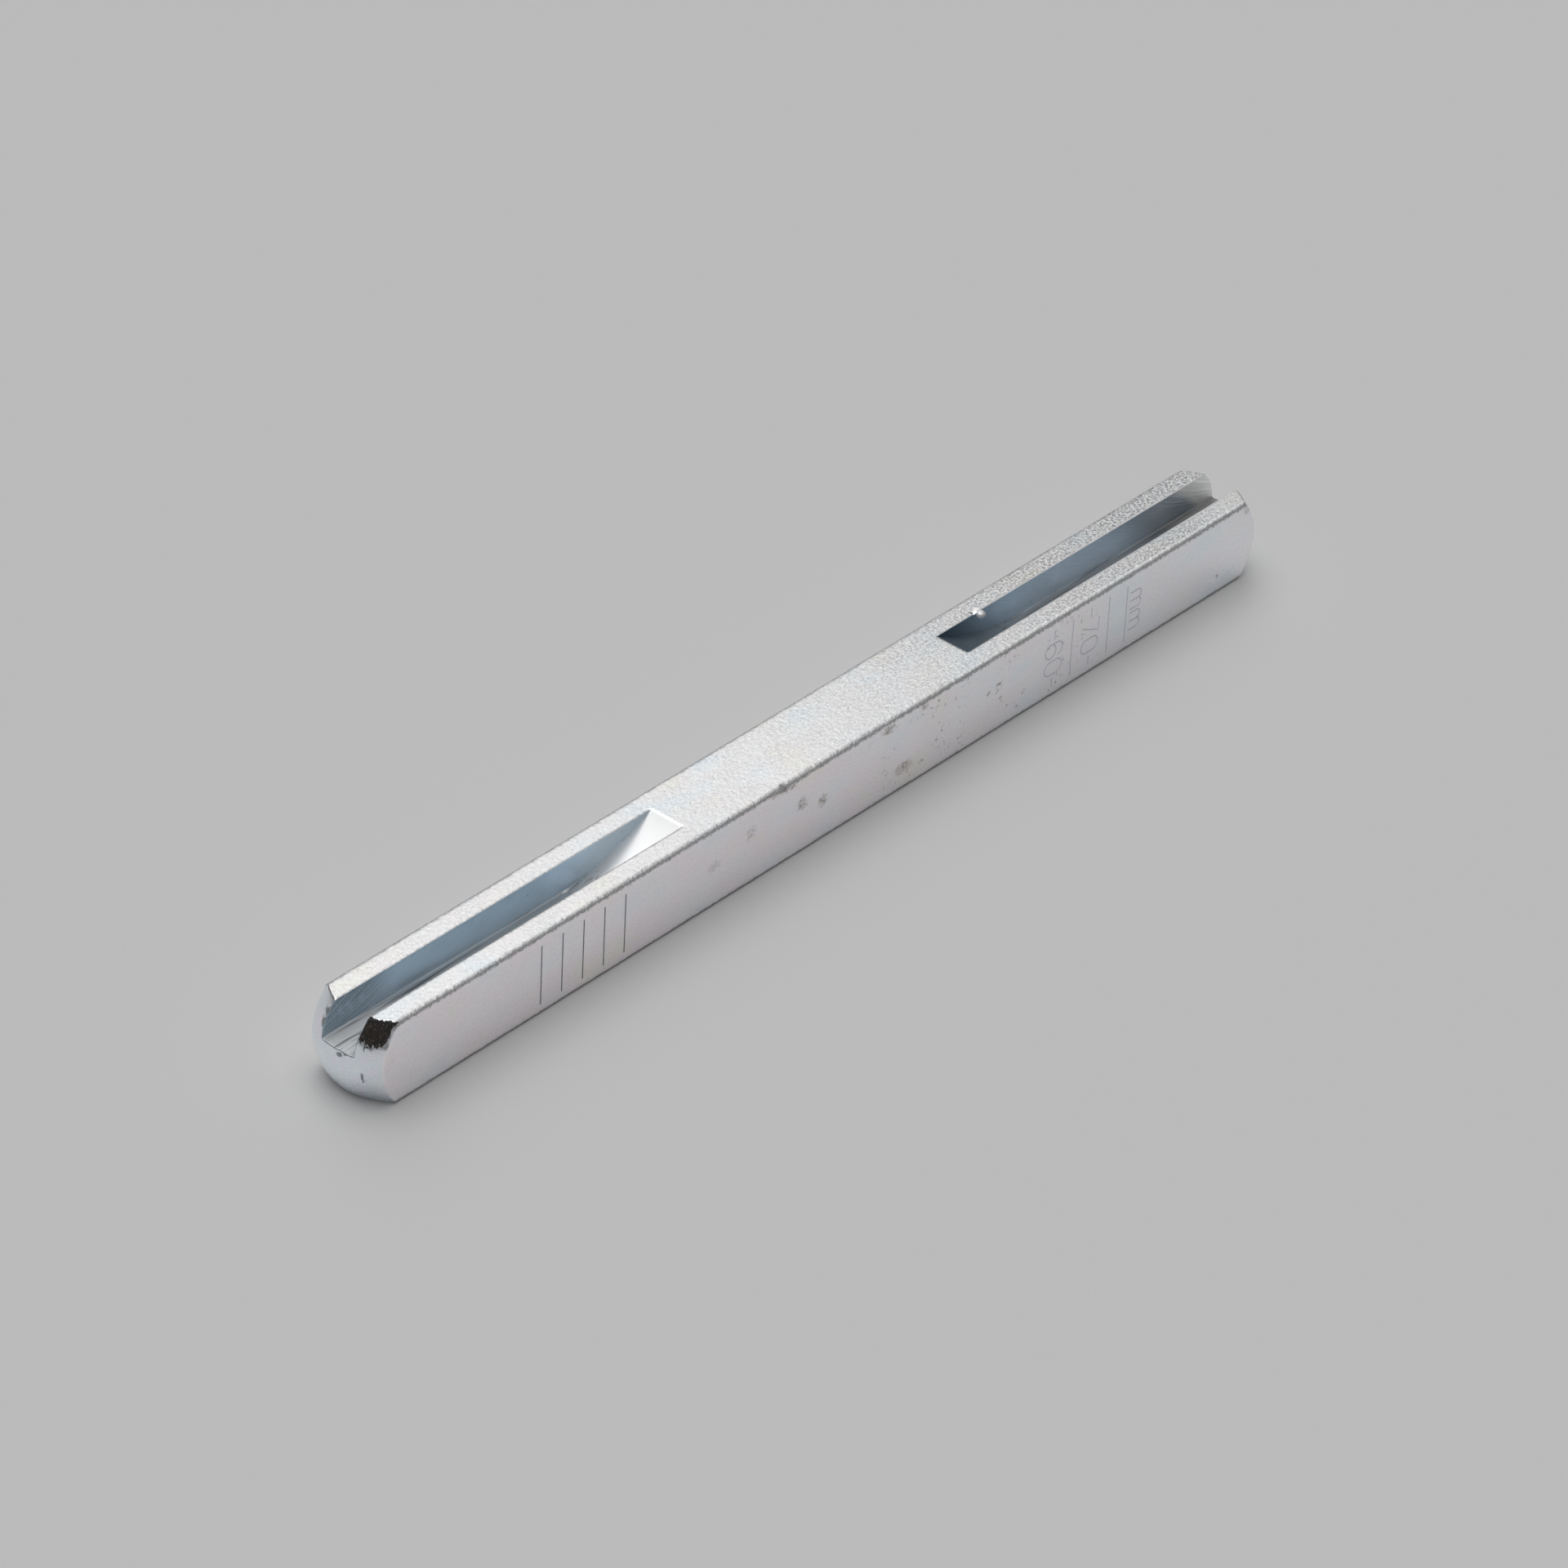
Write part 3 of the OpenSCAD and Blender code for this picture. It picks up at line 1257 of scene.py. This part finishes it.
class DetailTree:
    """Geometry Nodes that add a burr and cut the scale's marks and characters into the bar."""

    BURR_PLACE = (23.95, 1.64, 7.69)
    BURR_SIZE = (0.48, 0.52, 0.31)
    BURR_TURN = -0.35
    STROKE_SIDES = 8
    BURR_SIDES = (20, 12)
    LAST_NUMBER = 3.5
    SOCKETS = {"Geometry": "Geometry", "Characters": "Object", "Finish": "Material",
               "Burr Finish": "Material", "Burr Place": "Vector", "Burr Size": "Vector", "Mark Count": "Int"}
    LENGTHS = ("First Mark", "Mark Pitch", "Mark Length", "Dash Length", "Stroke Width", "Face Depth",
               "Middle", "Shallow")

    def __init__(self, bar: BarSizes, scale: ScaleSizes) -> None:
        """Keeps the sizes and lays out the tree.

        Args:
            bar: Sizes of the bar.
            scale: Sizes of the scale.
        """
        self.bar = bar
        self.scale = scale
        self.group = bpy.data.node_groups.new("engraved_scale", "GeometryNodeTree")
        self.graph = Graph(self.group)
        self._declare()
        self.given = self.graph.node("NodeGroupInput").outputs
        self._wire()

    def _declare(self) -> None:
        add = self.group.interface.new_socket
        add("Geometry", in_out="OUTPUT", socket_type="NodeSocketGeometry")
        for name, kind in (self.SOCKETS | dict.fromkeys(self.LENGTHS, "Float")).items():
            add(name, in_out="INPUT", socket_type=f"NodeSocket{kind}")

    def _number(self, name: str) -> Value:
        """A number that the tree is given."""
        return Value(self.graph, self.given[name])

    def _row(self, side: int) -> bpy.types.Node:
        """A row of points, one for each mark, away from the middle of the bar.

        Args:
            side: 1 for the +X half, -1 for the other.

        Returns:
            The node that makes them.
        """
        depth = self._number("Face Depth") - self._number("Shallow") * (1.0 if side > 0 else 0.5)
        start = self.graph.node("ShaderNodeCombineXYZ", {
            "X": self._number("First Mark") * side, "Y": depth, "Z": self.given["Middle"]})
        step = self.graph.node("ShaderNodeCombineXYZ", {"X": self._number("Mark Pitch") * side})
        return self.graph.node("GeometryNodeMeshLine", {
            "Count": self.given["Mark Count"], "Start Location": start, "Offset": step}, mode="OFFSET")

    def _cutter(self, length: str) -> bpy.types.Node:
        """An upright round bar that cuts one mark or dash.

        Args:
            length: Name of the input that holds its length.

        Returns:
            The node that makes it.
        """
        return self.graph.node("GeometryNodeMeshCylinder", {
            "Vertices": self.STROKE_SIDES, "Radius": self._number("Stroke Width") * 0.5,
            "Depth": self.given[length]})

    def _stand(self, points: bpy.types.Node, cutter: bpy.types.Node, chosen: Any = True) -> bpy.types.Node:
        """Puts a cutter on each chosen point.

        Args:
            points: The points.
            cutter: The cutter.
            chosen: Which points get one.

        Returns:
            The node that does it.
        """
        return self.graph.node("GeometryNodeInstanceOnPoints", {
            "Points": points, "Instance": cutter, "Selection": chosen})

    def _marks(self) -> bpy.types.Node:
        """Cutters of the marks. On the +X side, the first and the third leave room for a number.

        Returns:
            The last of its nodes.
        """
        g = self.graph
        full, dash = self._cutter("Mark Length"), self._cutter("Dash Length")
        index = g.node("GeometryNodeInputIndex")
        odd = g.value("ShaderNodeMath", {0: index, 1: 2.0}, operation="MODULO")
        low = g.value("ShaderNodeMath", {0: index, 1: self.LAST_NUMBER}, operation="LESS_THAN")
        numbered = (1 - odd) * low
        row = self._row(1)
        pieces = [self._stand(self._row(-1), full), self._stand(row, full, 1 - numbered)]
        for side in (-0.5, 0.5):
            shift = (self._number("Mark Length") - self._number("Dash Length")) * side
            moved = g.node("GeometryNodeTransform", {
                "Geometry": row, "Translation": g.node("ShaderNodeCombineXYZ", {"Z": shift})})
            pieces.append(self._stand(moved, dash, numbered))
        return g.node("GeometryNodeRealizeInstances", {0: g.node("GeometryNodeJoinGeometry", {0: pieces})})

    def _letters(self) -> bpy.types.Node:
        """Cutters of the characters: a round bar along each of their lines.

        Returns:
            The last of its nodes.
        """
        lines = self.graph.node("GeometryNodeObjectInfo", {"Object": self.given["Characters"]})
        profile = self.graph.node("GeometryNodeCurvePrimitiveCircle", {
            "Resolution": self.STROKE_SIDES, "Radius": self._number("Stroke Width") * 0.5})
        return self.graph.node("GeometryNodeCurveToMesh", {
            "Curve": lines.outputs["Geometry"], "Profile Curve": profile, "Fill Caps": True})

    def _burred(self) -> bpy.types.Node:
        """The given bar, joined with the burr.

        Returns:
            The last of its nodes.
        """
        g = self.graph
        segments, rings = self.BURR_SIDES
        ball = g.node("GeometryNodeMeshUVSphere", {"Segments": segments, "Rings": rings, "Radius": 1.0})
        lump = g.node("GeometryNodeTransform", {
            "Geometry": ball, "Translation": self.given["Burr Place"], "Rotation": (0.0, 0.0, self.BURR_TURN),
            "Scale": self.given["Burr Size"]})
        plated = g.node("GeometryNodeSetMaterial", {"Geometry": lump, "Material": self.given["Burr Finish"]})
        return g.node("GeometryNodeMeshBoolean", {"Mesh 2": [plated, self.given["Geometry"]]},
                      operation="UNION", solver=SOLVER)

    def _wire(self) -> None:
        """Lays out the nodes."""
        g = self.graph
        cutters = g.node("GeometryNodeJoinGeometry", {0: [self._marks(), self._letters()]})
        named = g.node("GeometryNodeStoreNamedAttribute", {
            "Geometry": cutters, "Name": "engraved", "Value": True}, data_type="BOOLEAN", domain="FACE")
        cut = g.node("GeometryNodeMeshBoolean", {"Mesh 1": self._burred(), "Mesh 2": named},
                     operation="DIFFERENCE", solver=SOLVER)
        chosen = g.node("GeometryNodeInputNamedAttribute", {"Name": "engraved"}, data_type="BOOLEAN")
        dressed = g.node("GeometryNodeSetMaterial", {
            "Geometry": g.node("GeometryNodeRealizeInstances", {0: cut}), "Selection": chosen,
            "Material": self.given["Finish"]})
        g.node("NodeGroupOutput", {0: dressed})

    def apply(self, obj: bpy.types.Object, characters: bpy.types.Object, finish: bpy.types.Material,
              burr_finish: bpy.types.Material) -> None:
        """Adds the burr, cuts the scale into the bar and keeps the result as its mesh.

        Args:
            obj: The bar.
            characters: The curves of the characters.
            finish: Finish of the engraved faces.
            burr_finish: Finish of the burr.
        """
        bar, scale = self.bar, self.scale
        length = bar.width - 2 * scale.margin
        number = 2 * scale.digit_width + scale.gap
        dash = (length - number - 2 * scale.gap) / 2
        lengths = (scale.first, scale.pitch, length, dash, scale.stroke, -bar.half_width, bar.half_width,
                   scale.shallow)
        values = {name: value * MM for name, value in zip(self.LENGTHS, lengths)} | {
            "Characters": characters, "Finish": finish, "Burr Finish": burr_finish, "Mark Count": scale.count,
            "Burr Place": [c * MM for c in self.BURR_PLACE], "Burr Size": [c * MM for c in self.BURR_SIZE],
        }
        modifier = obj.modifiers.new("engraved_scale", "NODES")
        modifier.node_group = self.group
        for item in self.group.interface.items_tree:
            if item.in_out == "INPUT" and item.name in values:
                modifier[item.identifier] = values[item.name]
        evaluated = obj.evaluated_get(bpy.context.evaluated_depsgraph_get())
        mesh = bpy.data.meshes.new_from_object(evaluated)
        obj.modifiers.remove(modifier)
        obj.data = mesh


class Spindle:
    """The bar, from its turned and slotted stock to its plated and engraved surface."""

    def __init__(self, size: BarSizes, scale: ScaleSizes) -> None:
        """Keeps the sizes."""
        self.size = size
        self.scale = scale

    def build(self) -> bpy.types.Object:
        """Makes the finished bar and puts it in the place of the CAD node.

        Returns:
            The bar.
        """
        bar = BarStock(self.size, MeshPitch()).build("spindle_bar")
        Wear(self.size).apply(bar)
        finishes = {
            Finish.PLATE: ZincPlate().material(self.size),
            Finish.TURNED: TurnedTip().material(self.size),
            Finish.MILLED: MilledSteel().material(self.size),
            Finish.ENGRAVED: EngravedStroke().material(),
            Finish.BURR: burr_material(),
        }
        for finish in Finish:
            bar.data.materials.append(finishes[finish])
        letters = Lettering(self.size, self.scale).curve("scale_characters")
        DetailTree(self.size, self.scale).apply(
            bar, letters, finishes[Finish.ENGRAVED], finishes[Finish.BURR])
        bpy.data.objects.remove(letters)
        self._soften(bar)
        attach(bar, BODY)
        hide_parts(NODE)
        return bar

    def _soften(self, obj: bpy.types.Object) -> None:
        """Shades the bar smooth, apart from its sharp edges.

        Args:
            obj: The bar.
        """
        bm = bmesh.new()
        bm.from_mesh(obj.data)
        loose = sum(not e.is_manifold for e in bm.edges)
        for face in bm.faces:
            face.smooth = True
        for edge in bm.edges:
            edge.smooth = edge.is_manifold and edge.calc_face_angle(0) < math.radians(32)
        log.info("bar: %d faces, %d loose edges, %.1f mm3", len(bm.faces), loose, bm.calc_volume() / MM ** 3)
        bm.to_mesh(obj.data)
        bm.free()


@dataclass(frozen=True)
class Studio:
    """A plain grey floor under two soft lights, a large one overhead and a smaller one behind.

    Attributes:
        floor_grey: Reflectance of the floor.
        wall: Brightness near the horizon, the same as the lit floor's.
        horizon: Heights between which the horizon passes into the sky.
        dim: Brightness of the sky on the viewer's side.
        overhead: What the large soft light above the bar adds.
        behind: What the smaller light behind the bar adds.
        up: Direction of the light above.
        up_fade: Closeness to that direction at which the light begins and is full.
        back: Direction of the light behind.
        back_fade: The same for that light.
        azimuth: Angle of the camera about Z, in degrees, as are its elevation and roll.
        aim: Point that it looks at from this distance, in millimetres.
    """

    floor_grey: float = 0.845
    wall: float = 0.491
    horizon: Point = (0.02, 0.22)
    dim: float = 0.13
    overhead: float = 1.45
    behind: float = 1.03
    up: Triple = (0.0, 0.10, 1.0)
    up_fade: Point = (0.78, 0.93)
    back: Triple = (0.50, 0.58, 0.65)
    back_fade: Point = (0.91, 0.995)
    azimuth: float = -50.18
    elevation: float = 35.0
    roll: float = 3.06
    distance: float = 567.0
    aim: Triple = (-3.75, -0.33, 4.35)
    lens: float = 154.3

    def build(self) -> None:
        """Makes the floor, the light and the camera."""
        self._floor()
        self._world()
        self._camera()
        bpy.context.scene.view_settings.view_transform = "Standard"

    def _floor(self) -> None:
        """Makes the floor, a large plain square just under the bar."""
        half, drop = 3.0, 0.01 * MM
        mesh = bpy.data.meshes.new("floor")
        corners = [(-half, -half, -drop), (half, -half, -drop), (half, half, -drop), (-half, half, -drop)]
        mesh.from_pydata(corners, [], [(0, 1, 2, 3)])
        surface = Surface("floor_grey")
        surface.shader.inputs["Specular IOR Level"].default_value = 0.2
        mesh.materials.append(surface.finish((self.floor_grey,) * 3, 0.0, 0.9))
        obj = bpy.data.objects.new("floor", mesh)
        bpy.context.scene.collection.objects.link(obj)

    def _world(self) -> None:
        """Lights the scene from the sky alone, by its direction."""
        world = bpy.data.worlds.new("studio")
        bpy.context.scene.world = world
        world.use_nodes = True
        world.node_tree.nodes.clear()
        graph = Graph(world.node_tree)
        direction = graph.node("ShaderNodeTexCoord").outputs["Object"]
        height = Value(graph, graph.node("ShaderNodeSeparateXYZ", {0: direction}).outputs[2])
        sky: Any = self.dim
        for towards, fade, strength in ((self.up, self.up_fade, self.overhead),
                                        (self.back, self.back_fade, self.behind)):
            near = graph.value("ShaderNodeVectorMath", {0: direction, 1: Vector(towards).normalized()},
                               "Value", operation="DOT_PRODUCT")
            sky = sky + strength * near.rise(*fade)
        high = height.rise(*self.horizon)
        strength = self.wall * (1 - high) + sky * high
        background = graph.node("ShaderNodeBackground", {"Color": (1, 1, 1), "Strength": strength})
        graph.node("ShaderNodeOutputWorld", {0: background})

    def _camera(self) -> None:
        """Places the camera by its angles about the point that it looks at."""
        azimuth, elevation = math.radians(self.azimuth), math.radians(self.elevation)
        back = Vector((math.sin(azimuth) * math.cos(elevation),
                       -math.cos(azimuth) * math.cos(elevation), math.sin(elevation)))
        right = Vector((0, 0, 1)).cross(back).normalized()
        up = back.cross(right)
        turned = Matrix.Rotation(math.radians(self.roll), 3, back)
        right, up = turned @ right, turned @ up
        camera = bpy.data.cameras.new("camera")
        camera.lens = self.lens
        camera.sensor_width = 36
        camera.clip_start = 0.01
        obj = bpy.data.objects.new("camera", camera)
        place = (Vector(self.aim) + back * self.distance) * MM
        obj.matrix_world = Matrix.Translation(place) @ Matrix((right, up, back)).transposed().to_4x4()
        bpy.context.scene.collection.objects.link(obj)
        bpy.context.scene.camera = obj


def main() -> None:
    """Builds the spindle and its studio."""
    logging.basicConfig(level=logging.INFO, format="%(message)s")
    size = BarSizes.from_frame()
    bar = Spindle(size, ScaleSizes()).build()
    log.info("%s rides on %s", bar.name, BODY)
    Studio().build()


if __name__ == "__main__":
    main()
